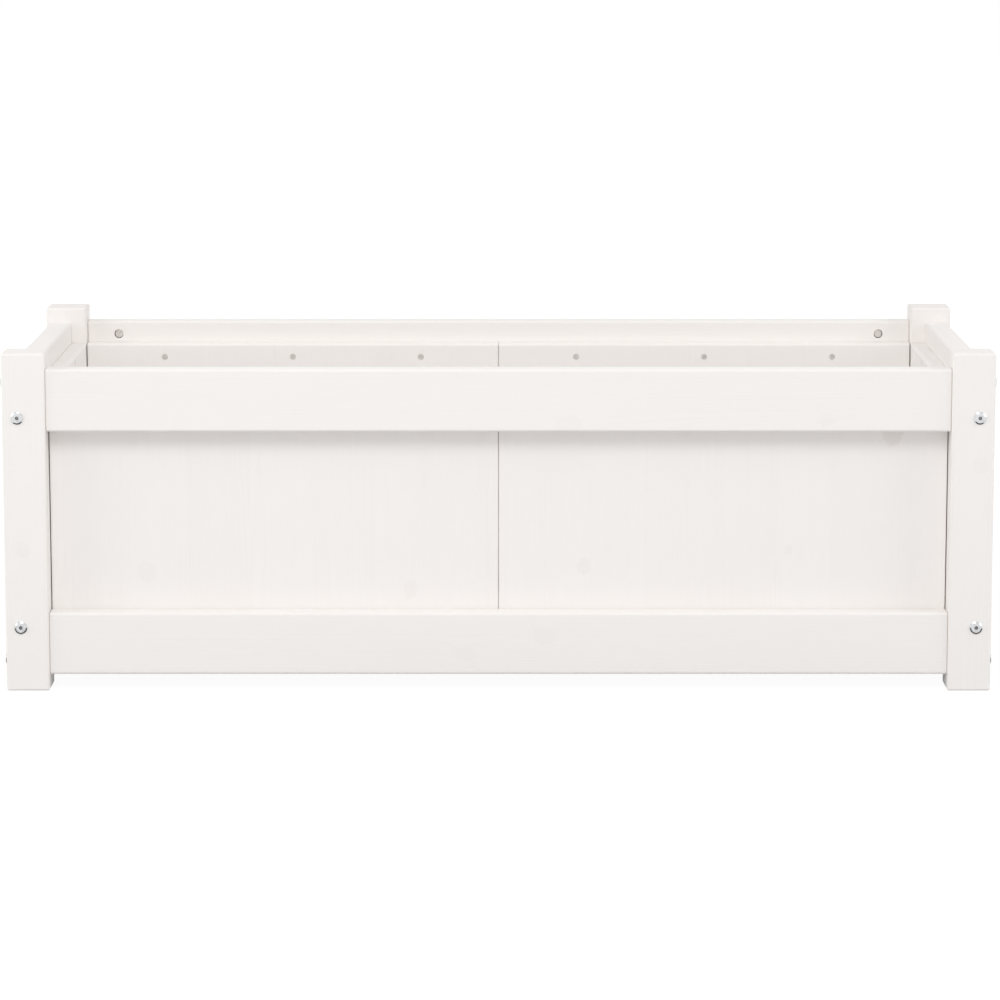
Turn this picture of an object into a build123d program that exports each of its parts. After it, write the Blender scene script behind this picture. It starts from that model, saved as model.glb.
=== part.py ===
from build123d import *
import os

# Raised garden bed in white painted pine, millimetres, +Z up, origin on the ground at its middle.
# X runs along the long sides and the front faces -Y. Four posts carry eight rails, and the infill
# panels are screwed to the inner faces of the rails. Nothing on it moves.

os.makedirs("parts", exist_ok=True)

# Overall size, over the posts
bed_length = 1100.0
bed_depth = 500.0
bed_height = 380.0

# Posts
post_side = 48.0
post_edge_radius = 2.5

# Rails, between the posts
rail_height = 70.0
rail_thickness = 26.0
top_rail_drop = 18.0
bottom_rail_lift = 18.0
rail_edge_radius = 3.0
rail_end_radius = 2.0

# Infill panels, two to a long side and one to a short side
panel_thickness = 18.0
panel_lap = 45.0
panel_gap = 1.0
panel_seam = 0.5
panel_top_radius = 4.0
panel_edge_radius = 1.2
panel_end_radius = 0.8

# Floor: two cleats along the long panels carry slats with drainage gaps between them
cleat_height = 30.0
cleat_width = 22.0
cleat_edge_radius = 1.5
slat_width = 95.0
slat_thickness = 16.0
slat_edge_radius = 2.0
slat_end_radius = 1.0
slat_end_gap = 1.0
least_drain_gap = 4.5

# Furniture bolts through the posts into barrel nuts in the rails
bolt_diameter = 6.0
bolt_length = 100.0
bolt_head_diameter = 14.0
bolt_head_height = 2.0
bolt_head_bevel_width = 1.5
bolt_head_bevel_height = 0.9
bolt_tip_chamfer = 1.0
hex_socket_across_flats = 4.0
hex_socket_depth = 3.0
bolt_clearance = 0.5
bolt_hole_run_out = 3.0
long_bolt_inset = 16.0
short_bolt_inset = 16.0
barrel_nut_diameter = 10.0
barrel_nut_length = 16.0
barrel_nut_chamfer = 0.6
barrel_nut_setback = 38.0
barrel_nut_clearance = 0.5
barrel_nut_slot_width = 1.5
barrel_nut_slot_depth = 1.2
thread_fit = 0.05

# Dowels that stop a rail from turning about its one bolt
dowel_diameter = 8.0
dowel_length = 40.0
dowel_chamfer = 1.0
dowel_fit = 0.05
dowel_end_gap = 0.5
dowel_inset = 16.0

# Countersunk wood screws
screw_rim = 0.3
screw_fit = 0.1
screw_point_ratio = 1.2
panel_screw_diameter = 3.5
panel_screw_head = 7.0
panel_screw_length = 35.0
cleat_screw_diameter = 4.5
cleat_screw_head = 8.5
cleat_screw_length = 60.0
slat_screw_diameter = 4.0
slat_screw_head = 7.5
slat_screw_length = 30.0
pilot_run_out = 1.0
recess_length_share = 0.58
recess_width_share = 0.14
recess_depth_share = 0.3

# Screw places
long_panel_screw_spacing = 156.0
long_panel_screw_count = 3
long_panel_screw_inset = 17.0
short_panel_screw_spacing = 146.0
short_panel_screw_inset = 8.0
cleat_screw_lift = 9.0
slat_screw_offset = 30.0

# Worked out from the sizes above
rail_setback = post_side - rail_thickness - panel_thickness
rail_line = rail_setback + rail_thickness / 2
half_length = bed_length / 2
half_depth = bed_depth / 2
inner_length = bed_length - 2 * post_side
inner_depth = bed_depth - 2 * post_side
top_rail_centre = bed_height - top_rail_drop - rail_height / 2
bottom_rail_centre = bottom_rail_lift + rail_height / 2
panel_top = top_rail_centre - rail_height / 2 + panel_lap
panel_bottom = bottom_rail_centre + rail_height / 2 - panel_lap
panel_height = panel_top - panel_bottom
long_panel_width = (inner_length - 2 * panel_gap - panel_seam) / 2
long_panel_centre = (long_panel_width + panel_seam) / 2
short_panel_width = inner_depth - 2 * panel_gap
rail_inner_offset = rail_setback + rail_thickness

slat_bottom = panel_bottom + cleat_height
slat_top = slat_bottom + slat_thickness
slat_length = inner_depth - 2 * slat_end_gap
slat_count = int((inner_length - least_drain_gap) // (slat_width + least_drain_gap))
drain_gap = (inner_length - slat_count * slat_width) / (slat_count + 1)
slat_pitch = slat_width + drain_gap
slat_centres = [(i - (slat_count - 1) / 2) * slat_pitch for i in range(slat_count)]
cleat_length = inner_length - 2 * panel_gap
cleat_line = inner_depth / 2 - cleat_width / 2
cleat_screw_level = panel_bottom + cleat_screw_lift
bolt_reach = bolt_length - post_side

# Each rail level as its centre height and the way to the edge of the bed, up or down
levels = {"top": (top_rail_centre, 1), "bottom": (bottom_rail_centre, -1)}
sides = {"front": -1, "back": 1}
ends = {"left": -1, "right": 1}


def towards_edge(level, inset):
    """Height of a line set in from the rail edge that is nearer the top or foot of the bed."""
    centre, way = levels[level]
    return centre + way * (rail_height / 2 - inset)


def towards_middle(level, inset):
    """Height of a line set in from the rail edge that is nearer the middle of the bed."""
    centre, way = levels[level]
    return centre - way * (rail_height / 2 - inset)


def long_bolt_plane(end, side, level):
    """Seat of a bolt head on a post's end face, for a long rail."""
    place = (end * half_length, side * (half_depth - rail_line), towards_edge(level, long_bolt_inset))
    return Plane(origin=place, z_dir=(end, 0, 0))


def short_bolt_plane(end, side, level):
    """Seat of a bolt head on a post's front or back face, for a short rail."""
    place = (end * (half_length - rail_line), side * half_depth, towards_middle(level, short_bolt_inset))
    return Plane(origin=place, z_dir=(0, side, 0))


def long_dowel_plane(end, side, level):
    """Joint face between a post and a long rail, at the dowel, looking out through the post."""
    place = (end * inner_length / 2, side * (half_depth - rail_line), towards_middle(level, dowel_inset))
    return Plane(origin=place, z_dir=(end, 0, 0))


def short_dowel_plane(end, side, level):
    """Joint face between a post and a short rail, at the dowel, looking out through the post."""
    place = (end * (half_length - rail_line), side * inner_depth / 2, towards_edge(level, dowel_inset))
    return Plane(origin=place, z_dir=(0, side, 0))


def long_nut_plane(end, side, level):
    """Inner face of a long rail at a barrel nut, looking into the bed, with X along the bolt."""
    nut_x = end * (inner_length / 2 - barrel_nut_setback)
    face_y = side * (half_depth - rail_inner_offset)
    place = (nut_x, face_y, towards_edge(level, long_bolt_inset))
    return Plane(origin=place, x_dir=(1, 0, 0), z_dir=(0, -side, 0))


def short_nut_plane(end, side, level):
    """Inner face of a short rail at a barrel nut, looking into the bed, with X along the bolt."""
    nut_y = side * (inner_depth / 2 - barrel_nut_setback)
    face_x = end * (half_length - rail_inner_offset)
    place = (face_x, nut_y, towards_middle(level, short_bolt_inset))
    return Plane(origin=place, x_dir=(0, 1, 0), z_dir=(-end, 0, 0))


def long_panel_screw_planes(side, centre_x, level):
    """Heads of the screws that hold one long-side panel to one rail, looking into the bed."""
    height = panel_top - long_panel_screw_inset if level == "top" else panel_bottom + long_panel_screw_inset
    steps = [i - (long_panel_screw_count - 1) / 2 for i in range(long_panel_screw_count)]
    places = [(centre_x + step * long_panel_screw_spacing, side * inner_depth / 2, height) for step in steps]
    return [Plane(origin=place, z_dir=(0, -side, 0)) for place in places]


def short_panel_screw_planes(end, level):
    """Heads of the two screws that hold a short-side panel to one rail, looking into the bed."""
    height = panel_top - short_panel_screw_inset if level == "top" else panel_bottom + short_panel_screw_inset
    places = [(end * inner_length / 2, way * short_panel_screw_spacing / 2, height) for way in (-1, 1)]
    return [Plane(origin=place, z_dir=(-end, 0, 0)) for place in places]


def cleat_screw_planes(side):
    """Heads of the cleat screws, under every second slat counted in from each end."""
    first_half = slat_centres[: slat_count // 2 : 2]
    face_y = side * (inner_depth / 2 - cleat_width)
    return [
        Plane(origin=(way * x, face_y, cleat_screw_level), z_dir=(0, -side, 0))
        for way in (1, -1)
        for x in first_half
    ]


def slat_screw_planes(slat_x):
    """Heads of the four screws of one slat, two over each cleat."""
    return [
        Plane(origin=(slat_x + x, y, slat_top), z_dir=(0, 0, 1))
        for x in (-slat_screw_offset, slat_screw_offset)
        for y in (-cleat_line, cleat_line)
    ]


def moved_along(planes, distance):
    """The same planes, each moved along its own normal."""
    return [plane.offset(distance) for plane in planes]


def save(piece, name):
    """Names one finished piece and writes it."""
    piece.part.label = name
    export_step(piece.part, f"parts/{name}.step")


def make_group(name, fastener, planes):
    """One node of equal fasteners, a copy of the fastener at each plane."""
    with BuildPart() as group:
        with Locations(*planes):
            add(fastener.part)
    save(group, name)


def make_bolt():
    """Bolt with a low bevelled head on Z = 0 and a hexagon socket; the shank runs down -Z."""
    head_radius = bolt_head_diameter / 2
    shank_radius = bolt_diameter / 2
    with BuildPart() as bolt:
        with BuildSketch(Plane.XZ):
            with BuildLine():
                Polyline(
                    (0, bolt_head_height),
                    (head_radius - bolt_head_bevel_width, bolt_head_height),
                    (head_radius, bolt_head_height - bolt_head_bevel_height),
                    (head_radius, 0),
                    (shank_radius, 0),
                    (shank_radius, bolt_tip_chamfer - bolt_length),
                    (shank_radius - bolt_tip_chamfer, -bolt_length),
                    (0, -bolt_length),
                    close=True,
                )
            make_face()
        revolve(axis=Axis.Z)
        with BuildSketch(Plane.XY.offset(bolt_head_height)):
            RegularPolygon(hex_socket_across_flats / 2, side_count=6, major_radius=False)
        extrude(amount=-hex_socket_depth, mode=Mode.SUBTRACT)
    return bolt


def make_barrel_nut():
    """Cross nut lying along Z below the rail's inner face at Z = 0, threaded along X."""
    top = (barrel_nut_length - rail_thickness) / 2
    with BuildPart() as nut:
        with BuildSketch(Plane.XY.offset(top)):
            Circle(barrel_nut_diameter / 2)
        extrude(amount=-barrel_nut_length)
        chamfer(nut.edges().filter_by(GeomType.CIRCLE), length=barrel_nut_chamfer)
        with BuildSketch(Plane.XY.offset(top)):
            Rectangle(barrel_nut_diameter, barrel_nut_slot_width)
        extrude(amount=-barrel_nut_slot_depth, mode=Mode.SUBTRACT)
        with Locations(Plane.YZ.offset(barrel_nut_diameter / 2) * Pos(0, -rail_thickness / 2)):
            Hole(bolt_diameter / 2 + thread_fit, depth=barrel_nut_diameter)
    return nut


def make_dowel():
    """Hardwood dowel centred on Z = 0, which is the joint face."""
    with BuildPart() as dowel:
        Cylinder(dowel_diameter / 2, dowel_length)
        chamfer(dowel.edges().filter_by(GeomType.CIRCLE), length=dowel_chamfer)
    return dowel


def make_screw(diameter, head_diameter, length):
    """Countersunk wood screw with a cross recess, its head flush with Z = 0."""
    radius = diameter / 2
    head_radius = head_diameter / 2
    point = diameter * screw_point_ratio
    with BuildPart() as screw:
        with BuildSketch(Plane.XZ):
            with BuildLine():
                Polyline(
                    (0, 0),
                    (head_radius, 0),
                    (head_radius, -screw_rim),
                    (radius, radius - head_radius - screw_rim),
                    (radius, point - length),
                    (0, -length),
                    close=True,
                )
            make_face()
        revolve(axis=Axis.Z)
        with BuildSketch(Plane.XY):
            Rectangle(head_diameter * recess_length_share, head_diameter * recess_width_share)
            Rectangle(head_diameter * recess_width_share, head_diameter * recess_length_share)
        extrude(amount=-head_diameter * recess_depth_share, mode=Mode.SUBTRACT)
    return screw


def sink_screws(planes, diameter, head_diameter, depth):
    """Cuts countersunk clearance holes into the part being built, for heads at these planes."""
    with Locations(*planes):
        CounterSinkHole(
            radius=diameter / 2 + screw_fit,
            counter_sink_radius=head_diameter / 2 + screw_rim + screw_fit,
            depth=depth,
            counter_sink_angle=90,
        )


def drill(planes, diameter, fit, depth):
    """Drills round holes into the part being built, down from these planes."""
    with Locations(*planes):
        Hole(diameter / 2 + fit, depth=depth)


def make_post(end, side):
    """Square post with eased edges, bolt holes right through and blind dowel holes."""
    with BuildPart() as post:
        with BuildSketch(Plane.XY):
            with Locations((end * (half_length - post_side / 2), side * (half_depth - post_side / 2))):
                Rectangle(post_side, post_side)
        extrude(amount=bed_height)
        fillet(post.edges(), radius=post_edge_radius)
        for level in levels:
            bolts = [long_bolt_plane(end, side, level), short_bolt_plane(end, side, level)]
            drill(bolts, bolt_diameter, bolt_clearance, post_side)
            dowels = [long_dowel_plane(end, side, level), short_dowel_plane(end, side, level)]
            into_post = moved_along(dowels, dowel_length / 2 + dowel_end_gap)
            drill(into_post, dowel_diameter, dowel_fit, dowel_length / 2 + dowel_end_gap)
    return post


def ease_rail(rail, along):
    """Rounds the four long edges of a rail, then the edges round its two end faces."""
    fillet(rail.edges().filter_by(along), radius=rail_edge_radius)
    fillet(rail.faces().filter_by(along).edges(), radius=rail_end_radius)


def drill_rail_ends(bolt_planes, dowel_planes, nut_planes):
    """Bolt, dowel and barrel-nut holes at both ends of the rail being built."""
    bolt_starts = moved_along(bolt_planes, -post_side)
    drill(bolt_starts, bolt_diameter, bolt_clearance, bolt_reach + bolt_hole_run_out)
    drill(dowel_planes, dowel_diameter, dowel_fit, dowel_length / 2 + dowel_end_gap)
    nut_depth = (rail_thickness + barrel_nut_length) / 2
    drill(nut_planes, barrel_nut_diameter, barrel_nut_clearance, nut_depth)


def make_long_rail(side, level):
    """Front or back rail, with pilot holes for the panel screws and, low down, the cleat screws."""
    with BuildPart() as rail:
        with BuildSketch(Plane.YZ.offset(-inner_length / 2)):
            with Locations((side * (half_depth - rail_line), levels[level][0])):
                Rectangle(rail_thickness, rail_height)
        extrude(amount=inner_length)
        ease_rail(rail, Axis.X)
        drill_rail_ends(
            [long_bolt_plane(end, side, level) for end in ends.values()],
            [long_dowel_plane(end, side, level) for end in ends.values()],
            [long_nut_plane(end, side, level) for end in ends.values()],
        )
        for end in ends.values():
            heads = long_panel_screw_planes(side, end * long_panel_centre, level)
            pilot = panel_screw_length - panel_thickness + pilot_run_out
            drill(moved_along(heads, -panel_thickness), panel_screw_diameter, screw_fit, pilot)
        if level == "bottom":
            starts = moved_along(cleat_screw_planes(side), -cleat_width - panel_thickness)
            pilot = cleat_screw_length - cleat_width - panel_thickness + pilot_run_out
            drill(starts, cleat_screw_diameter, screw_fit, pilot)
    return rail


def make_short_rail(end, level):
    """Left or right rail, with pilot holes for its panel screws."""
    with BuildPart() as rail:
        with BuildSketch(Plane.XZ.offset(-inner_depth / 2)):
            with Locations((end * (half_length - rail_line), levels[level][0])):
                Rectangle(rail_thickness, rail_height)
        extrude(amount=inner_depth)
        ease_rail(rail, Axis.Y)
        drill_rail_ends(
            [short_bolt_plane(end, side, level) for side in sides.values()],
            [short_dowel_plane(end, side, level) for side in sides.values()],
            [short_nut_plane(end, side, level) for side in sides.values()],
        )
        heads = short_panel_screw_planes(end, level)
        pilot = panel_screw_length - panel_thickness + pilot_run_out
        drill(moved_along(heads, -panel_thickness), panel_screw_diameter, screw_fit, pilot)
    return rail


def ease_panel(panel, along, inward):
    """Rounds a panel's upper edge inside the bed, its other long edges, then its two ends."""
    long_edges = panel.edges().filter_by(along).sort_by(inward)
    upper_inner = long_edges[-2:].sort_by(Axis.Z)[-1]
    fillet(upper_inner, radius=panel_top_radius)
    corners = panel.edges().filter_by(along).group_by(Axis.Z)
    fillet(corners[0] + corners[-1].sort_by(inward)[:1], radius=panel_edge_radius)
    fillet(panel.faces().filter_by(along).edges(), radius=panel_end_radius)


def make_long_panel(end, side):
    """One of the two infill panels of a long side, screwed to both rails."""
    centre_x = end * long_panel_centre
    with BuildPart() as panel:
        with BuildSketch(Plane.YZ.offset(centre_x - long_panel_width / 2)):
            with Locations((side * (inner_depth + panel_thickness) / 2, (panel_top + panel_bottom) / 2)):
                Rectangle(panel_thickness, panel_height)
        extrude(amount=long_panel_width)
        ease_panel(panel, Axis.X, Axis((0, 0, 0), (0, -side, 0)))
        for level in levels:
            heads = long_panel_screw_planes(side, centre_x, level)
            sink_screws(heads, panel_screw_diameter, panel_screw_head, panel_thickness)
        cleat_holes = [
            plane
            for plane in moved_along(cleat_screw_planes(side), -cleat_width)
            if abs(plane.origin.X - centre_x) < long_panel_width / 2
        ]
        drill(cleat_holes, cleat_screw_diameter, screw_fit, panel_thickness)
    return panel


def make_short_panel(end):
    """Infill panel of a short side, screwed to both rails."""
    with BuildPart() as panel:
        with BuildSketch(Plane.XZ.offset(-short_panel_width / 2)):
            with Locations((end * (inner_length + panel_thickness) / 2, (panel_top + panel_bottom) / 2)):
                Rectangle(panel_thickness, panel_height)
        extrude(amount=short_panel_width)
        ease_panel(panel, Axis.Y, Axis((0, 0, 0), (-end, 0, 0)))
        for level in levels:
            heads = short_panel_screw_planes(end, level)
            sink_screws(heads, panel_screw_diameter, panel_screw_head, panel_thickness)
    return panel


def make_cleat(side):
    """Batten along a long side that carries the floor slats, screwed through its panel to the rail."""
    with BuildPart() as cleat:
        with BuildSketch(Plane.YZ.offset(-cleat_length / 2)):
            with Locations((side * cleat_line, panel_bottom + cleat_height / 2)):
                Rectangle(cleat_width, cleat_height)
        extrude(amount=cleat_length)
        fillet(cleat.edges(), radius=cleat_edge_radius)
        sink_screws(cleat_screw_planes(side), cleat_screw_diameter, cleat_screw_head, cleat_width)
        for slat_x in slat_centres:
            heads = [plane for plane in slat_screw_planes(slat_x) if plane.origin.Y * side > 0]
            pilot = slat_screw_length - slat_thickness + pilot_run_out
            drill(moved_along(heads, -slat_thickness), slat_screw_diameter, screw_fit, pilot)
    return cleat


def make_slat(slat_x):
    """Floor board across the bed, resting on both cleats."""
    with BuildPart() as slat:
        with BuildSketch(Plane.XZ.offset(-slat_length / 2)):
            with Locations((slat_x, slat_bottom + slat_thickness / 2)):
                Rectangle(slat_width, slat_thickness)
        extrude(amount=slat_length)
        fillet(slat.edges().filter_by(Axis.Y), radius=slat_edge_radius)
        fillet(slat.faces().filter_by(Axis.Y).edges(), radius=slat_end_radius)
        sink_screws(slat_screw_planes(slat_x), slat_screw_diameter, slat_screw_head, slat_thickness)
    return slat


# Frame: posts and rails
for side_name, side in sides.items():
    for end_name, end in ends.items():
        save(make_post(end, side), f"post_{side_name}_{end_name}")
for level in levels:
    for side_name, side in sides.items():
        save(make_long_rail(side, level), f"{level}_rail_{side_name}")
    for end_name, end in ends.items():
        save(make_short_rail(end, level), f"{level}_rail_{end_name}")

# Infill panels
for side_name, side in sides.items():
    for end_name, end in ends.items():
        save(make_long_panel(end, side), f"panel_{side_name}_{end_name}")
for end_name, end in ends.items():
    save(make_short_panel(end), f"panel_{end_name}")

# Floor
for side_name, side in sides.items():
    save(make_cleat(side), f"floor_cleat_{side_name}")
for number, slat_x in enumerate(slat_centres, start=1):
    save(make_slat(slat_x), f"floor_slat_{number}")

# Bolts, barrel nuts and dowels, one node for the joints of each side
bolt = make_bolt()
barrel_nut = make_barrel_nut()
dowel = make_dowel()
for side_name, side in sides.items():
    joints = [(end, side, level) for end in ends.values() for level in levels]
    make_group(f"{side_name}_face_bolts", bolt, [short_bolt_plane(*joint) for joint in joints])
    make_group(f"{side_name}_rail_barrel_nuts", barrel_nut, [long_nut_plane(*joint) for joint in joints])
    make_group(f"{side_name}_rail_dowels", dowel, [long_dowel_plane(*joint) for joint in joints])
for end_name, end in ends.items():
    joints = [(end, side, level) for side in sides.values() for level in levels]
    make_group(f"{end_name}_face_bolts", bolt, [long_bolt_plane(*joint) for joint in joints])
    make_group(f"{end_name}_rail_barrel_nuts", barrel_nut, [short_nut_plane(*joint) for joint in joints])
    make_group(f"{end_name}_rail_dowels", dowel, [short_dowel_plane(*joint) for joint in joints])

# Wood screws
panel_screw = make_screw(panel_screw_diameter, panel_screw_head, panel_screw_length)
cleat_screw = make_screw(cleat_screw_diameter, cleat_screw_head, cleat_screw_length)
slat_screw = make_screw(slat_screw_diameter, slat_screw_head, slat_screw_length)
for side_name, side in sides.items():
    heads = [
        plane
        for end in ends.values()
        for level in levels
        for plane in long_panel_screw_planes(side, end * long_panel_centre, level)
    ]
    make_group(f"{side_name}_panel_screws", panel_screw, heads)
    make_group(f"{side_name}_cleat_screws", cleat_screw, cleat_screw_planes(side))
for end_name, end in ends.items():
    heads = [plane for level in levels for plane in short_panel_screw_planes(end, level)]
    make_group(f"{end_name}_panel_screws", panel_screw, heads)
heads = [plane for slat_x in slat_centres for plane in slat_screw_planes(slat_x)]
make_group("slat_screws", slat_screw, heads)
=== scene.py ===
"""Looks of the raised garden bed: painted pine boards, zinc plated hardware, beech dowels and the studio.

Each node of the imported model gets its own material. Two thin seam fillers are added, one in each long side.
"""

import math
import random

import bmesh
import bpy
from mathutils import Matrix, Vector


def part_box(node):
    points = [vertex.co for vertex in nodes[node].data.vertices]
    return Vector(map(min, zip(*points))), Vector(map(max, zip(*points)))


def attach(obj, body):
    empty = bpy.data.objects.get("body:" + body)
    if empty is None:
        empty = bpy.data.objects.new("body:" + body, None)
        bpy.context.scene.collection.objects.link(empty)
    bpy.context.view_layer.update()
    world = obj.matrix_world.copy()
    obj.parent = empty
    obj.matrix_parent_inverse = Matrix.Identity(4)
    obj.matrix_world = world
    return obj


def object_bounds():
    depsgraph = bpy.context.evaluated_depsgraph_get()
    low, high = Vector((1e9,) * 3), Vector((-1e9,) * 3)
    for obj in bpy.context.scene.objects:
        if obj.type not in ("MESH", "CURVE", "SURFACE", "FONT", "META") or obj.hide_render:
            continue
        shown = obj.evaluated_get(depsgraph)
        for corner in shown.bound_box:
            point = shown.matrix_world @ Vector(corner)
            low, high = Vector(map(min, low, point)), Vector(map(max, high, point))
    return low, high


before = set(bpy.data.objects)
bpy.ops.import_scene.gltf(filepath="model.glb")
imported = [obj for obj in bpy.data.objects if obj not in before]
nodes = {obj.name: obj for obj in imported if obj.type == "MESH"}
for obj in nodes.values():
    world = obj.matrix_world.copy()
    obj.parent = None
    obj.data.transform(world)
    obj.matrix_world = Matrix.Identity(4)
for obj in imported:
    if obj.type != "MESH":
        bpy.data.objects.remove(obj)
cad_low, cad_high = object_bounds()

# Camera, fitted to the photograph. The pitch is in degrees below level, the lens in millimetres.
CAMERA_PLACE = (0.0, -4.600, 0.9185)
CAMERA_PITCH = 9.17
CAMERA_LENS = 142.86
CAMERA_SENSOR = 36.0
CAMERA_SHIFT = 0.0015
CAMERA_SIGHT = 100.0

# Colours, linear.
PAINT = (0.893, 0.867, 0.847, 1.0)
PINE = (0.560, 0.350, 0.180, 1.0)
KNOT_WOOD = (0.330, 0.190, 0.120, 1.0)
# Painted shade in the seams between the two panels of each long side.
SEAM_PAINTED_SHADE = (0.42, 0.38, 0.35, 1.0)
ZINC = (0.70, 0.71, 0.72, 1.0)
INNER_ZINC = (0.80, 0.77, 0.74, 1.0)
ZINC_TARNISH = (0.42, 0.42, 0.41, 1.0)
# Painted shade inside the hex sockets of the bolt heads.
SOCKET_PAINTED_SHADE = (0.14, 0.135, 0.13, 1.0)
BEECH = (0.60, 0.38, 0.22, 1.0)
BEECH_FLECK = (0.42, 0.23, 0.11, 1.0)
FLOOR = (0.68, 0.68, 0.68, 1.0)
DARK_CARD = (0.06, 0.06, 0.06, 1.0)
WHITE = (1.0, 1.0, 1.0, 1.0)

# Board axes: which of X, Y and Z lies along the width, the thickness and the grain.
ACROSS_X_GRAIN_Z = (0, 1, 2)
ACROSS_Y_GRAIN_Z = (1, 0, 2)
ACROSS_Z_GRAIN_X = (2, 1, 0)
ACROSS_Z_GRAIN_Y = (2, 0, 1)
FLAT_X_GRAIN_Y = (0, 2, 1)

# Noises of the painted boards: how often per metre they change across, through and along the grain.
RING_SWAY = (9.0, 9.0, 1.7)
RING_PATCHES = (30.0, 30.0, 4.0)
FIBRES = (1500.0, 1500.0, 42.0)
BRUSH_STROKES = (330.0, 330.0, 7.0)
MOTTLING = (17.0, 17.0, 5.0)
PAINT_PEEL = (700.0, 700.0, 700.0)
KNOT_OUTLINES = (160.0, 160.0, 110.0)

# Growth rings, glued strips, wear and relief of the boards, in metres.
RING_SPACING = 0.0031
STRIP_WIDTH = 0.068
JOINT_WIDTH = 0.0006
EDGE_WEAR = (0.0032, 0.0006)
END_WEAR = (0.0020, 0.0006)
PINE_RELIEF = 0.00005
PAINT_SPECULAR = 0.35

# How much of the wood's or the knot's colour shows through the paint, where its mask is 1.
SHOWS_EVERYWHERE = 0.012
SHOWS_IN_RINGS = 0.020
RINGS_LOST_IN_KNOT = 0.012
SHOWS_IN_HEART = 0.043
SHOWS_IN_RIM = 0.024

# Knots: length over width, how uneven their outline is, and the largest radius of a chance knot.
KNOT_LENGTH = 1.3
KNOT_UNEVENNESS = 0.9
LARGEST_KNOT = 0.010

# Knots that the photograph shows in the front panels: place along X, height, radius, strength.
SEEN_KNOTS = {
    "panel_front_left": [(-0.3945, 0.130, 0.0085, 0.55), (-0.0990, 0.109, 0.0068, 0.80)],
    "panel_front_right": [(0.0950, 0.136, 0.0064, 0.95), (0.3247, 0.155, 0.0036, 0.90),
                          (0.4400, 0.287, 0.0095, 2.4)],
}

SLATS = 10

# Seam fillers: how far they stand back from the panels' faces, sides and ends, and how far they are sunk.
SEAM_SETBACK = 0.0030
SEAM_CLEARANCE = 0.00002
SEAM_END = 0.0015
SEAM_SINK = (0.0002, 0.0004)
SEAM_STEPS = 24
SEAM_OUTLINE = [(-1.0, 0.0), (-0.5, 0.75), (0.0, 1.0), (0.5, 0.75), (1.0, 0.0)]
# Patches of painted shade on the seam fillers: how often per metre they change across, through and along.
SEAM_CLOUDS = (140.0, 140.0, 30.0)

# Hardware, in metres, and the roughness that its polish leaves.
HEAD_RADIUS = 0.007
SOCKET_RADIUS = 0.0024
METAL_RELIEF = 0.000006
BEECH_RELIEF = 0.00004
BOLT_POLISH = 0.10
SCREW_POLISH = 0.16
DULL_POLISH = 0.30

# Seeds of the noises lie between 0 and this.
SEED_RANGE = 50.0

# Floor, in metres. Near its middle it keeps a part of the object's shadow, which fades out with the distance.
FLOOR_HALF = 14.0
FLOOR_GLOW = 1.07
SHADOW_PART = 0.11
SHADOW_WHOLE = 0.7
SHADOW_END = 1.6

# Dark card, in metres: how far off the bed's box it starts and ends, and its height over the floor.
CARD_START = 0.004
CARD_END = 0.22
CARD_HEIGHT = 0.002

# Lamps: name, aim, azimuth, elevation, distance, width, height and share of a plain white level.
AMBIENT = 0.625
FRONT = (0.0, -0.25, 0.20)
MIDDLE = (0.0, 0.0, 0.30)
LAMPS = [
    ("key", FRONT, -9, 42, 3.4, 1.2, 1.2, 0.29),
    ("fill", FRONT, 0, 8, 5.0, 2.4, 1.2, 0.04),
    ("left", MIDDLE, -78, 22, 3.6, 2.6, 2.0, 0.27),
    ("right", MIDDLE, 78, 22, 3.6, 2.6, 2.0, 0.28),
]

SQUARE = ((-1, -1), (1, -1), (1, 1), (-1, 1))


# Node helpers.

def connect(tree, value, socket):
    """Links value to the socket if it is another node's output, else sets it as the socket's own value."""
    if isinstance(value, bpy.types.NodeSocket):
        tree.links.new(value, socket)
    else:
        socket.default_value = value


def add_node(tree, kind, inputs=None, **settings):
    node = tree.nodes.new("ShaderNode" + kind)
    for name, value in settings.items():
        setattr(node, name, value)
    for name, value in (inputs or {}).items():
        connect(tree, value, node.inputs[name])
    return node


def maths(tree, operation, *values):
    node = add_node(tree, "Math", operation=operation)
    for socket, value in zip(node.inputs, values):
        connect(tree, value, socket)
    return node.outputs[0]


def vector_maths(tree, operation, *values):
    node = add_node(tree, "VectorMath", operation=operation)
    for socket, value in zip(node.inputs, values):
        connect(tree, value, socket)
    return node.outputs[0]


def plus(tree, *values):
    total = values[0]
    for value in values[1:]:
        total = maths(tree, "ADD", total, value)
    return total


def times(tree, *values):
    total = values[0]
    for value in values[1:]:
        total = maths(tree, "MULTIPLY", total, value)
    return total


def smooth(tree, value, start, end):
    """0 before start, 1 after end, with a smooth step between; start may be larger than end."""
    low, high = (0.0, 1.0) if start < end else (1.0, 0.0)
    inputs = {"Value": value, "From Min": min(start, end), "From Max": max(start, end),
              "To Min": low, "To Max": high}
    return add_node(tree, "MapRange", inputs, interpolation_type="SMOOTHSTEP").outputs[0]


def noise(tree, place, stretch, seed, detail=2.0, roughness=0.5, colour=False):
    """Noise over a place that is stretched by three factors per metre, from 0 to 1 and centred on a half."""
    scaled = vector_maths(tree, "MULTIPLY", place, stretch)
    inputs = {"Vector": scaled, "W": seed, "Scale": 1.0, "Detail": detail, "Roughness": roughness}
    return add_node(tree, "TexNoise", inputs, noise_dimensions="4D").outputs[1 if colour else 0]


def line_noise(tree, value):
    """Noise along a line, from 0 to 1 and centred on a half."""
    inputs = {"W": value, "Scale": 1.0, "Detail": 1.0}
    return add_node(tree, "TexNoise", inputs, noise_dimensions="1D").outputs[0]


def centred(tree, value):
    return maths(tree, "SUBTRACT", value, 0.5)


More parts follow.
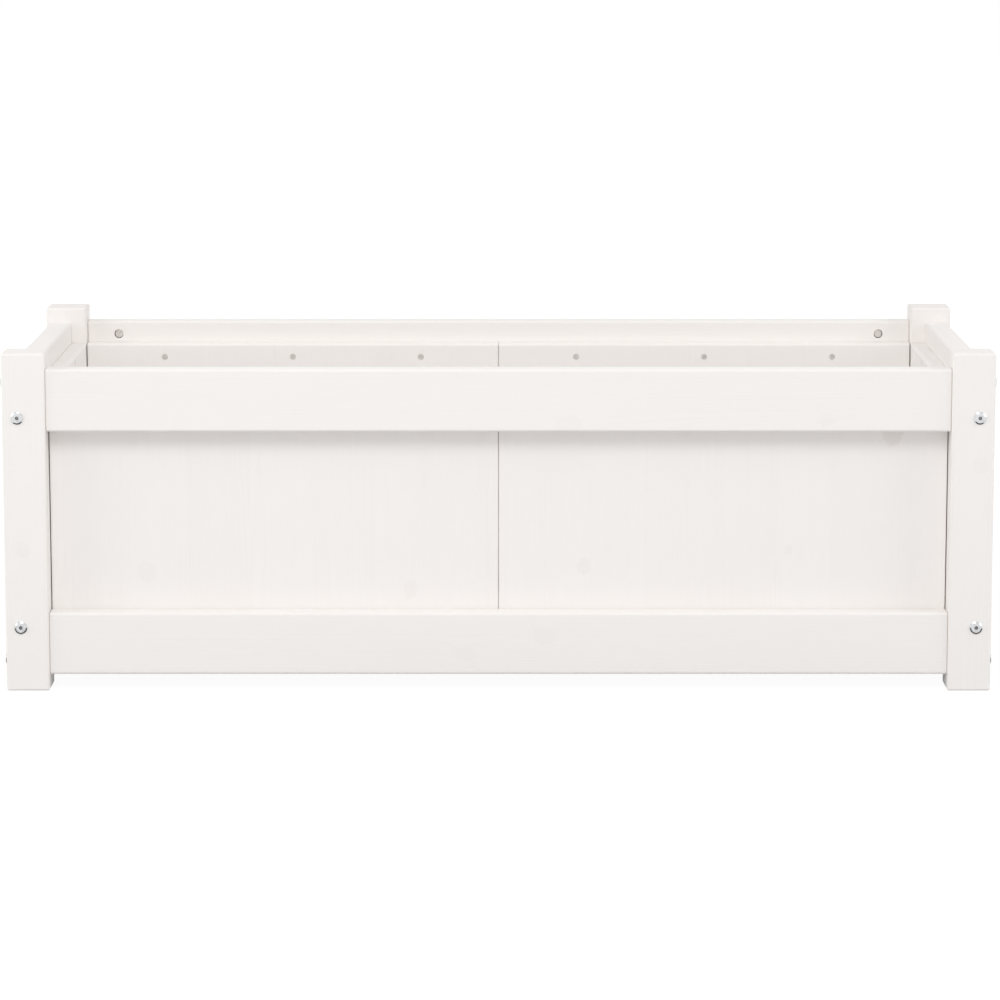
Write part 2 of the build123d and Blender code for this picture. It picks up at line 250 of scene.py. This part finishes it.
def blend_colours(tree, share, first, second):
    node = add_node(tree, "Mix", data_type="RGBA")
    connect(tree, share, node.inputs[0])
    connect(tree, first, node.inputs[6])
    connect(tree, second, node.inputs[7])
    return node.outputs[2]


def bump(tree, height, distance):
    inputs = {"Strength": 1.0, "Distance": distance, "Height": height}
    return add_node(tree, "Bump", inputs).outputs[0]


def split(tree, place):
    return add_node(tree, "SeparateXYZ", {"Vector": place}).outputs[:3]


def new_group(name, inputs, outputs):
    """Shader group with the sockets given as (name, kind) pairs, and its input and output nodes."""
    tree = bpy.data.node_groups.new(name, "ShaderNodeTree")
    for label, kind in inputs:
        tree.interface.new_socket(label, in_out="INPUT", socket_type="NodeSocket" + kind)
    for label, kind in outputs:
        tree.interface.new_socket(label, in_out="OUTPUT", socket_type="NodeSocket" + kind)
    return tree, tree.nodes.new("NodeGroupInput"), tree.nodes.new("NodeGroupOutput")


def use_group(tree, group, inputs):
    node = tree.nodes.new("ShaderNodeGroup")
    node.node_tree = group
    for name, value in inputs.items():
        connect(tree, value, node.inputs[name])
    return node


# Objects and their materials.

def add_object(name, data):
    thing = bpy.data.objects.new(name, data)
    bpy.context.collection.objects.link(thing)
    return thing


def add_flat(name, corners, faces):
    mesh = bpy.data.meshes.new(name)
    mesh.from_pydata(corners, [], faces)
    return add_object(name, mesh)


def new_material(name):
    """Material with its tree and surface shader, and the place on the piece in metres."""
    material = bpy.data.materials.new(name)
    material.use_nodes = True
    tree = material.node_tree
    shader = tree.nodes["Principled BSDF"]
    place = tree.nodes.new("ShaderNodeTexCoord").outputs["Object"]
    return material, tree, shader, place


def dress(name, material):
    """Gives the material to every slot of the node's mesh."""
    for slot in nodes[name].material_slots:
        slot.material = material


def middle_and_half(name):
    """Middle of the node's box, and half its size."""
    low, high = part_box(name)
    return (low + high) / 2, (high - low) / 2


# Painted pine.

def make_knot_group():
    """One knot: how far it pushes the growth rings aside, and how strongly its heart and rim show."""
    tree, given, result = new_group(
        "knot",
        [("Place", "Vector"), ("Across", "Float"), ("Along", "Float"), ("Radius", "Float"),
         ("Strength", "Float"), ("Wobble", "Float")],
        [("Bulge", "Float"), ("Heart", "Float"), ("Rim", "Float")],
    )
    across, _, along = split(tree, given.outputs["Place"])
    radius = given.outputs["Radius"]
    strength = given.outputs["Strength"]
    away = maths(tree, "DIVIDE", maths(tree, "SUBTRACT", across, given.outputs["Across"]), radius)
    up = maths(tree, "DIVIDE", maths(tree, "SUBTRACT", along, given.outputs["Along"]),
               times(tree, radius, KNOT_LENGTH))
    distance = maths(tree, "SQRT", plus(tree, times(tree, away, away), times(tree, up, up)))
    distance = plus(tree, distance, times(tree, given.outputs["Wobble"], KNOT_UNEVENNESS))
    falling = maths(tree, "EXPONENT", times(tree, times(tree, distance, distance), -0.35))
    tree.links.new(times(tree, falling, radius, 1.1), result.inputs["Bulge"])
    heart = smooth(tree, distance, 1.25, 0.55)
    tree.links.new(times(tree, heart, strength), result.inputs["Heart"])
    ring = maths(tree, "SUBTRACT", distance, 1.0)
    rim = maths(tree, "EXPONENT", times(tree, times(tree, ring, ring), -22.0))
    tree.links.new(times(tree, rim, strength), result.inputs["Rim"])
    return tree


def make_pine_group():
    """Solid pine under thin white paint, from a place in the board's own axes (width, thickness, grain)."""
    tree, given, result = new_group(
        "painted pine",
        [("Place", "Vector"), ("Half", "Vector"), ("Seed", "Float"), ("Strip", "Vector"), ("Joint", "Float"),
         ("Bulge", "Float"), ("Heart", "Float"), ("Rim", "Float")],
        [("Color", "Color"), ("Roughness", "Float"), ("Normal", "Vector")],
    )
    place = given.outputs["Place"]
    seed = given.outputs["Seed"]
    heart, rim, joint = (given.outputs[name] for name in ("Heart", "Rim", "Joint"))
    across, through, along = split(tree, place)
    chance_a, chance_b, chance_c = split(tree, given.outputs["Strip"])

    # Growth rings round a pith that lies outside the board and slightly askew to it.
    sway = split(tree, noise(tree, place, RING_SWAY, seed, colour=True))
    pith_across = times(tree, centred(tree, chance_a), 0.17)
    pith_through = plus(tree, times(tree, chance_b, -0.065), -0.018)
    lean_across = times(tree, centred(tree, chance_c), 0.05)
    lean_through = times(tree, centred(tree, maths(tree, "FRACT", times(tree, chance_a, 7.3))), 0.045)
    ring_x = plus(tree, across, times(tree, centred(tree, sway[0]), 0.022), times(tree, pith_across, -1.0),
                  times(tree, lean_across, along))
    ring_y = plus(tree, through, times(tree, centred(tree, sway[1]), 0.022), times(tree, pith_through, -1.0),
                  times(tree, lean_through, along))
    radius = maths(tree, "SQRT", plus(tree, times(tree, ring_x, ring_x), times(tree, ring_y, ring_y)))
    radius = plus(tree, radius, given.outputs["Bulge"])
    years = line_noise(tree, plus(tree, times(tree, radius, 95.0), seed))
    year = maths(tree, "FRACT", plus(tree, times(tree, radius, 1.0 / RING_SPACING), times(tree, years, 2.0)))
    late_wood = times(tree, smooth(tree, year, 0.25, 0.88), smooth(tree, year, 1.0, 0.93))
    patch = noise(tree, place, RING_PATCHES, plus(tree, seed, 3.1), detail=1.0)
    rings = times(tree, late_wood, smooth(tree, patch, 0.25, 0.75))

    # Fibres, brush strokes along the grain, slow changes of tone, and the fine unevenness of the paint.
    fibre = noise(tree, place, FIBRES, plus(tree, seed, 7.7), roughness=0.6)
    brush = noise(tree, place, BRUSH_STROKES, plus(tree, seed, 13.3), detail=3.0, roughness=0.55)
    mottle = noise(tree, place, MOTTLING, plus(tree, seed, 21.9), detail=3.0, roughness=0.55)
    peel = noise(tree, place, PAINT_PEEL, plus(tree, seed, 31.3), detail=1.0)

    # Distances to the board's faces: at an edge the second smallest one is near 0 too.
    to_middle = vector_maths(tree, "ABSOLUTE", place)
    gaps = split(tree, vector_maths(tree, "SUBTRACT", given.outputs["Half"], to_middle))
    least = maths(tree, "MINIMUM", gaps[0], maths(tree, "MINIMUM", gaps[1], gaps[2]))
    most = maths(tree, "MAXIMUM", gaps[0], maths(tree, "MAXIMUM", gaps[1], gaps[2]))
    second = maths(tree, "SUBTRACT", plus(tree, *gaps), plus(tree, least, most))
    worn = plus(tree, second, times(tree, centred(tree, brush), 0.0035),
                times(tree, centred(tree, patch), 0.004))
    edge = smooth(tree, worn, *EDGE_WEAR)
    end_grain = smooth(tree, gaps[2], *END_WEAR)

    # The share of wood that shows through the paint.
    shows = plus(
        tree,
        SHOWS_EVERYWHERE,
        times(tree, rings, maths(tree, "SUBTRACT", SHOWS_IN_RINGS, times(tree, heart, RINGS_LOST_IN_KNOT))),
        times(tree, centred(tree, fibre), 0.030),
        times(tree, centred(tree, brush), 0.024),
        times(tree, centred(tree, mottle), 0.030),
        times(tree, centred(tree, chance_c), 0.010),
        times(tree, edge, 0.045),
        times(tree, end_grain, plus(tree, 0.020, times(tree, rings, 0.050))),
        times(tree, joint, 0.030),
    )
    wood = blend_colours(tree, maths(tree, "MAXIMUM", shows, 0.0), PAINT, PINE)
    knot_share = plus(tree, times(tree, heart, SHOWS_IN_HEART), times(tree, rim, SHOWS_IN_RIM))
    tree.links.new(blend_colours(tree, knot_share, wood, KNOT_WOOD), result.inputs["Color"])

    roughness = plus(
        tree,
        0.50,
        times(tree, centred(tree, brush), 0.20),
        times(tree, rings, -0.05),
        times(tree, edge, 0.06),
        times(tree, end_grain, 0.10),
        times(tree, heart, -0.06),
    )
    tree.links.new(roughness, result.inputs["Roughness"])

    height = plus(
        tree,
        times(tree, late_wood, 0.45),
        times(tree, fibre, 0.50),
        times(tree, brush, 0.70),
        times(tree, peel, 0.22),
        times(tree, joint, -0.80),
        times(tree, heart, 0.55),
        times(tree, rim, -0.50),
        times(tree, end_grain, fibre, 0.8),
    )
    tree.links.new(bump(tree, height, PINE_RELIEF), result.inputs["Normal"])
    return tree


knot_group = make_knot_group()
pine_group = make_pine_group()


def board_place(tree, place, name, axes):
    """The place measured from the middle of the board, and the board's half size, both in its own axes."""
    middle, half = middle_and_half(name)
    shifted = split(tree, vector_maths(tree, "SUBTRACT", place, tuple(middle)))
    inputs = {"X": shifted[axes[0]], "Y": shifted[axes[1]], "Z": shifted[axes[2]]}
    return add_node(tree, "CombineXYZ", inputs).outputs[0], [half[axis] for axis in axes]


def glued_strips(tree, place, seed):
    """Random numbers that change from strip to strip of a glued board, and a mask of the glue joints."""
    across = split(tree, place)[0]
    inputs = {"W": plus(tree, times(tree, across, 1.0 / STRIP_WIDTH), seed + 40.0), "Scale": 1.0,
              "Randomness": 0.55}
    cells = add_node(tree, "TexVoronoi", inputs, voronoi_dimensions="1D", feature="F1")
    joints = add_node(tree, "TexVoronoi", inputs, voronoi_dimensions="1D", feature="DISTANCE_TO_EDGE")
    return cells.outputs["Color"], smooth(tree, joints.outputs["Distance"], JOINT_WIDTH / STRIP_WIDTH, 0.0)


def painted_pine(name, axes, knots, strips=False):
    """White painted pine for one board. knots are (across, along, radius, strength) from its middle."""
    draw = random.Random("board " + name)
    seed = draw.uniform(0.0, SEED_RANGE)
    material, tree, shader, place = new_material("painted_pine_" + name)
    place, half = board_place(tree, place, name, axes)
    inputs = {"Place": place, "Half": half, "Seed": seed}
    if strips:
        inputs["Strip"], inputs["Joint"] = glued_strips(tree, place, seed)
    else:
        inputs["Strip"] = [draw.random() for _ in range(3)]
    wobble = centred(tree, noise(tree, place, KNOT_OUTLINES, seed))
    found = {"Bulge": 0.0, "Heart": 0.0, "Rim": 0.0}
    for across, along, radius, strength in knots:
        knot = use_group(tree, knot_group, {"Place": place, "Across": across, "Along": along,
                                            "Radius": radius, "Strength": strength, "Wobble": wobble})
        for key, total in found.items():
            found[key] = plus(tree, total, knot.outputs[key])
    pine = use_group(tree, pine_group, {**inputs, **found})
    shader.inputs["Specular IOR Level"].default_value = PAINT_SPECULAR
    tree.links.new(pine.outputs["Color"], shader.inputs["Base Color"])
    tree.links.new(pine.outputs["Roughness"], shader.inputs["Roughness"])
    tree.links.new(pine.outputs["Normal"], shader.inputs["Normal"])
    dress(name, material)


def seen_knots(name):
    """The knots that the photograph shows in a front panel, from its middle."""
    middle, _ = middle_and_half(name)
    return [(x - middle.x, z - middle.z, radius, strength) for x, z, radius, strength in SEEN_KNOTS[name]]


def chance_knots(name, axes, count):
    """Faint knots at seeded places, clear of the board's ends and edges."""
    draw = random.Random("knots " + name)
    _, half = middle_and_half(name)
    width, length = half[axes[0]], half[axes[2]]
    return [(draw.uniform(-0.75, 0.75) * width, draw.uniform(-0.88, 0.88) * length,
             draw.uniform(0.004, min(LARGEST_KNOT, 0.4 * width)), draw.uniform(0.25, 0.7))
            for _ in range(count)]


def board(name, axes, count, strips=False):
    """Painted pine with as many chance knots, or with those that the photograph shows."""
    knots = seen_knots(name) if name in SEEN_KNOTS else chance_knots(name, axes, count)
    painted_pine(name, axes, knots, strips)


def dress_boards():
    for face in ("front", "back"):
        for end in ("left", "right"):
            board(f"post_{face}_{end}", ACROSS_X_GRAIN_Z, 1)
            board(f"panel_{face}_{end}", ACROSS_X_GRAIN_Z, 4, strips=True)
        for kind in ("top_rail", "bottom_rail", "floor_cleat"):
            board(f"{kind}_{face}", ACROSS_Z_GRAIN_X, 2)
    for end in ("left", "right"):
        for kind in ("top_rail", "bottom_rail"):
            board(f"{kind}_{end}", ACROSS_Z_GRAIN_Y, 1)
        board(f"panel_{end}", ACROSS_Y_GRAIN_Z, 4, strips=True)
    for number in range(1, SLATS + 1):
        board(f"floor_slat_{number}", FLAT_X_GRAIN_Y, 2)


# Seam fillers.

def seam_mesh(name, face, draw):
    """Thin bar between the two panels of a long side, with a slightly sunk front and back."""
    left_low, left_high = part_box(f"panel_{face}_left")
    right_low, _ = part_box(f"panel_{face}_right")
    middle = (left_high.x + right_low.x) / 2
    half = (right_low.x - left_high.x) / 2 - SEAM_CLEARANCE
    front, back = left_low.y + SEAM_SETBACK, left_high.y - SEAM_SETBACK
    bottom, top = left_low.z + SEAM_END, left_high.z - SEAM_END
    mesh = bmesh.new()
    rings = []
    for step in range(SEAM_STEPS + 1):
        height = bottom + (top - bottom) * step / SEAM_STEPS
        sink = draw.uniform(*SEAM_SINK)
        points = [(middle + x * half, front + y * sink, height) for x, y in SEAM_OUTLINE]
        points += [(middle + x * half, back - y * sink, height) for x, y in reversed(SEAM_OUTLINE)]
        rings.append([mesh.verts.new(point) for point in points])
    count = len(rings[0])
    for lower, upper in zip(rings, rings[1:]):
        for i in range(count):
            mesh.faces.new((lower[i], lower[(i + 1) % count], upper[(i + 1) % count], upper[i]))
    mesh.faces.new(list(reversed(rings[0])))
    mesh.faces.new(rings[-1])
    bmesh.ops.recalc_face_normals(mesh, faces=mesh.faces)
    data = bpy.data.meshes.new(name)
    mesh.to_mesh(data)
    mesh.free()
    return data


def close_seam(face):
    """Filler and paint in the seam between the two panels of a long side, set back from their faces; the
    paint carries cloudy patches of painted shade.
    """
    name = "seam_filler_" + face
    draw = random.Random("seam " + face)
    piece = add_object(name, seam_mesh(name, face, draw))
    material, tree, shader, place = new_material("painted_" + name)
    cloud = noise(tree, place, SEAM_CLOUDS, draw.uniform(0.0, SEED_RANGE), detail=3.0)
    # Painted shade: cloudy patches darken the filler, standing in for the shade deep in the seam between the
    # panels.
    painted_seam_shade = smooth(tree, cloud, 0.35, 0.75)
    tree.links.new(blend_colours(tree, painted_seam_shade, PAINT, SEAM_PAINTED_SHADE), shader.inputs["Base Color"])
    tree.links.new(plus(tree, 0.55, times(tree, painted_seam_shade, 0.25)), shader.inputs["Roughness"])
    piece.data.materials.append(material)
    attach(piece, "root")


# Hardware.

def place_on_head(tree, place, name, axis):
    """Distance from the middle of the nearest bolt head, and from the plane of the heads' outer faces."""
    low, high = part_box(name)
    middle, half = middle_and_half(name)
    shifted = vector_maths(tree, "SUBTRACT", place, tuple(middle))
    folded = split(tree, vector_maths(tree, "ABSOLUTE", shifted))
    offsets = [maths(tree, "SUBTRACT", folded[side], half[side] - HEAD_RADIUS)
               for side in range(3) if side != axis]
    radius = maths(tree, "SQRT", plus(tree, *[times(tree, offset, offset) for offset in offsets]))
    face = high[axis] if middle[axis] > 0.0 else low[axis]
    depth = maths(tree, "ABSOLUTE", maths(tree, "SUBTRACT", split(tree, place)[axis], face))
    return radius, depth


def zinc_plate(name, base, polish, axis=None):
    """Zinc plating. With an axis, the bolt heads that face along it get turning marks and painted shade
    inside their hex sockets.
    """
    seed = random.Random("metal " + name).uniform(0.0, SEED_RANGE)
    material, tree, shader, place = new_material("zinc_" + name)
    spots = noise(tree, place, (900.0, 900.0, 900.0), seed, detail=3.0, roughness=0.6)
    cloud = noise(tree, place, (220.0, 220.0, 220.0), seed + 5.0)
    tarnish = smooth(tree, plus(tree, times(tree, spots, 0.4), times(tree, cloud, 0.6)), 0.46, 0.70)
    colour = blend_colours(tree, times(tree, tarnish, 0.5), base, ZINC_TARNISH)
    rough = plus(tree, polish, times(tree, cloud, 0.10), times(tree, tarnish, 0.08))
    height = times(tree, spots, 0.5)
    if axis is not None:
        radius, depth = place_on_head(tree, place, name, axis)
        marks = line_noise(tree, times(tree, radius, 9000.0))
        height = plus(tree, height, times(tree, marks, 0.8))
        rough = plus(tree, rough, times(tree, centred(tree, marks), 0.10))
        # Painted shade: the inside of the hex socket is darkened, standing in for the shade that falls in the
        # recess.
        painted_socket_shade = times(tree, smooth(tree, radius, SOCKET_RADIUS + 0.0002, SOCKET_RADIUS - 0.0001),
                       smooth(tree, depth, 0.0001, 0.0012))
        colour = blend_colours(tree, times(tree, painted_socket_shade, 0.8), colour, SOCKET_PAINTED_SHADE)
        rough = plus(tree, rough, times(tree, painted_socket_shade, 0.25))
    shader.inputs["Metallic"].default_value = 1.0
    tree.links.new(colour, shader.inputs["Base Color"])
    tree.links.new(rough, shader.inputs["Roughness"])
    tree.links.new(bump(tree, height, METAL_RELIEF), shader.inputs["Normal"])
    dress(name, material)


def bare_beech(name, axes):
    """Bare beech of the dowels, with its short dark flecks along the grain."""
    seed = random.Random("beech " + name).uniform(0.0, SEED_RANGE)
    material, tree, shader, place = new_material("beech_" + name)
    turned, _ = board_place(tree, place, name, axes)
    fleck = noise(tree, turned, (2600.0, 2600.0, 330.0), seed)
    tone = centred(tree, noise(tree, turned, (400.0, 400.0, 30.0), seed + 3.0))
    share = plus(tree, times(tree, smooth(tree, fleck, 0.54, 0.66), 0.6), times(tree, tone, 0.35))
    colour = blend_colours(tree, maths(tree, "MAXIMUM", share, 0.0), BEECH, BEECH_FLECK)
    tree.links.new(colour, shader.inputs["Base Color"])
    tree.links.new(plus(tree, 0.55, times(tree, tone, 0.2)), shader.inputs["Roughness"])
    tree.links.new(bump(tree, fleck, BEECH_RELIEF), shader.inputs["Normal"])
    dress(name, material)


def dress_hardware():
    for face in ("front", "back", "left", "right"):
        sideways = face in ("left", "right")
        zinc_plate(f"{face}_face_bolts", ZINC, BOLT_POLISH, axis=0 if sideways else 1)
        zinc_plate(f"{face}_rail_barrel_nuts", INNER_ZINC, DULL_POLISH)
        zinc_plate(f"{face}_panel_screws", INNER_ZINC, DULL_POLISH)
        bare_beech(f"{face}_rail_dowels", ACROSS_Z_GRAIN_Y if sideways else ACROSS_Z_GRAIN_X)
    for name in ("front_cleat_screws", "back_cleat_screws", "slat_screws"):
        zinc_plate(name, INNER_ZINC, SCREW_POLISH)


# Studio.

def seen_directly(tree):
    """1 for camera rays and for rays mirrored by or passed through a surface."""
    path = tree.nodes.new("ShaderNodeLightPath").outputs
    return maths(tree, "MAXIMUM", path["Is Camera Ray"],
                 maths(tree, "MAXIMUM", path["Is Glossy Ray"], path["Is Transmission Ray"]))


def make_floor():
    """Pale floor. The camera and reflections see it near white, with a part of the object's shadow."""
    floor = add_flat("floor", [(x * FLOOR_HALF, y * FLOOR_HALF, 0.0) for x, y in SQUARE], [(0, 1, 2, 3)])
    material = bpy.data.materials.new("floor")
    material.use_nodes = True
    tree = material.node_tree
    tree.nodes.clear()
    matt = add_node(tree, "BsdfDiffuse", {"Color": FLOOR})
    shine = add_node(tree, "Emission", {"Color": WHITE, "Strength": FLOOR_GLOW})
    place = tree.nodes.new("ShaderNodeTexCoord").outputs["Object"]
    distance = add_node(tree, "VectorMath", {0: place}, operation="LENGTH").outputs["Value"]
    near = smooth(tree, distance, SHADOW_END, SHADOW_WHOLE)
    plain_part = maths(tree, "SUBTRACT", 1.0, times(tree, near, SHADOW_PART))
    mix = tree.nodes.new("ShaderNodeMixShader")
    tree.links.new(times(tree, seen_directly(tree), plain_part), mix.inputs[0])
    tree.links.new(matt.outputs[0], mix.inputs[1])
    tree.links.new(shine.outputs[0], mix.inputs[2])
    output = tree.nodes.new("ShaderNodeOutputMaterial")
    tree.links.new(mix.outputs[0], output.inputs["Surface"])
    floor.data.materials.append(material)


def make_dark_card():
    """Dark frame just over the floor round the bed, which only reflections see.

    It gives the lower rims of the bolt heads the dark line that they have in the photograph.
    """
    sides = [(cad_high.x + reach, cad_high.y + reach) for reach in (CARD_START, CARD_END)]
    corners = [(x * side[0], y * side[1], CARD_HEIGHT) for side in sides for x, y in SQUARE]
    faces = [(i, (i + 1) % 4, (i + 1) % 4 + 4, i + 4) for i in range(4)]
    card = add_flat("dark_card", corners, faces)
    card.visible_camera = False
    card.visible_diffuse = False
    card.visible_shadow = False
    card.visible_transmission = False
    material = bpy.data.materials.new("dark_card")
    material.use_nodes = True
    shader = material.node_tree.nodes["Principled BSDF"]
    shader.inputs["Base Color"].default_value = DARK_CARD
    shader.inputs["Roughness"].default_value = 0.9
    card.data.materials.append(material)


def make_world():
    """White world that lights the object at the ambient level and is plain white where it is seen."""
    world = bpy.data.worlds.new("studio")
    bpy.context.scene.world = world
    world.use_nodes = True
    tree = world.node_tree
    background = tree.nodes["Background"]
    background.inputs["Color"].default_value = WHITE
    level = plus(tree, AMBIENT, times(tree, seen_directly(tree), 1.0 - AMBIENT))
    tree.links.new(level, background.inputs["Strength"])


def lamp_place(aim, azimuth, elevation, distance):
    """Place at that distance from aim, at an azimuth from the front and an elevation, in degrees."""
    around, above = math.radians(azimuth), math.radians(elevation)
    level = distance * math.cos(above)
    return (aim[0] + level * math.sin(around), aim[1] - level * math.cos(around),
            aim[2] + distance * math.sin(above))


def add_lamp(name, aim, azimuth, elevation, distance, width, height, share):
    """Soft rectangular lamp. share is the part of a plain white level that it gives at aim."""
    place = lamp_place(aim, azimuth, elevation, distance)
    direction = Vector(aim) - Vector(place)
    lamp = bpy.data.lights.new(name, "AREA")
    lamp.shape = "RECTANGLE"
    lamp.size = width
    lamp.size_y = height
    lamp.energy = share * math.pi ** 2 * direction.length_squared
    light = add_object(name, lamp)
    light.location = place
    light.rotation_euler = direction.to_track_quat("-Z", "Y").to_euler()


def make_camera():
    lens = bpy.data.cameras.new("camera")
    lens.lens = CAMERA_LENS
    lens.sensor_width = CAMERA_SENSOR
    lens.shift_x = CAMERA_SHIFT
    lens.clip_end = CAMERA_SIGHT
    camera = add_object("camera", lens)
    camera.location = CAMERA_PLACE
    camera.rotation_euler = (math.radians(90.0 - CAMERA_PITCH), 0.0, 0.0)
    bpy.context.scene.camera = camera


bpy.context.scene.view_settings.view_transform = "Standard"
make_camera()
make_world()
for lamp in LAMPS:
    add_lamp(*lamp)
make_floor()
make_dark_card()
dress_boards()
close_seam("front")
close_seam("back")
dress_hardware()
